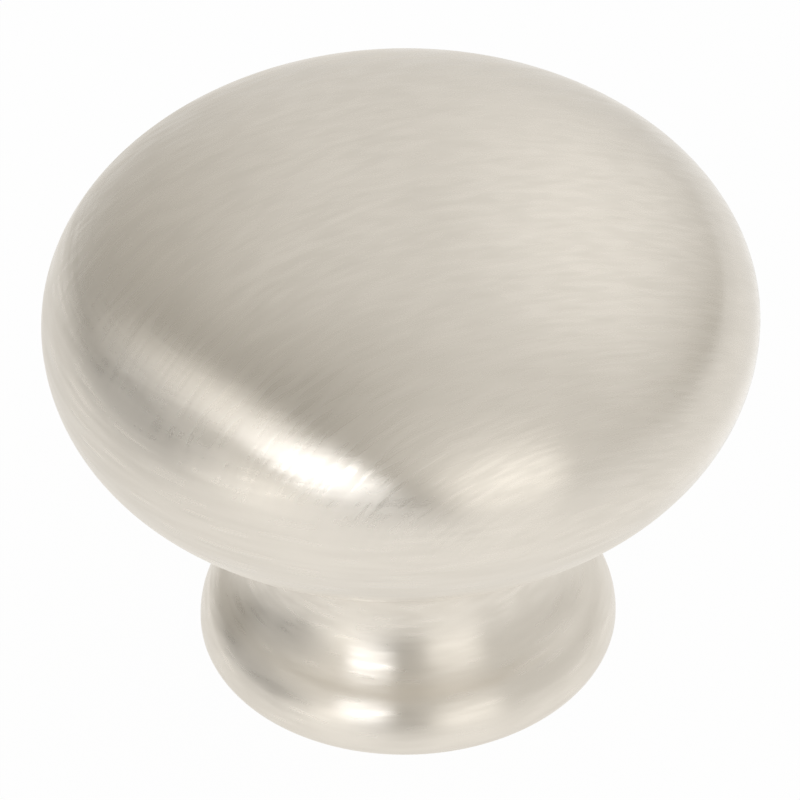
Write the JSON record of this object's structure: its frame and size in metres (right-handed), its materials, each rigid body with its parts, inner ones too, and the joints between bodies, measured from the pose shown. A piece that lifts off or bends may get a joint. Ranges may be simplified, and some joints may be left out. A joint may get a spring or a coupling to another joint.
{
  "type": "cabinet knob",
  "caption": "Mushroom-shaped solid metal cabinet knob with a wide domed head, hollow waist and round foot, in brushed satin nickel, with a tapped hole in its base.",
  "frame": {"origin": "centre of the foot's flat seat, where it meets the drawer front", "axes": "+Z along the knob's axis from the seat to the top of the head"},
  "size_m": [0.0318, 0.0318, 0.027],
  "materials": {
    "satin_nickel": "brushed satin nickel"
  },
  "bodies": {
    "root": {"knob": "satin_nickel"}
  },
  "joints": []
}
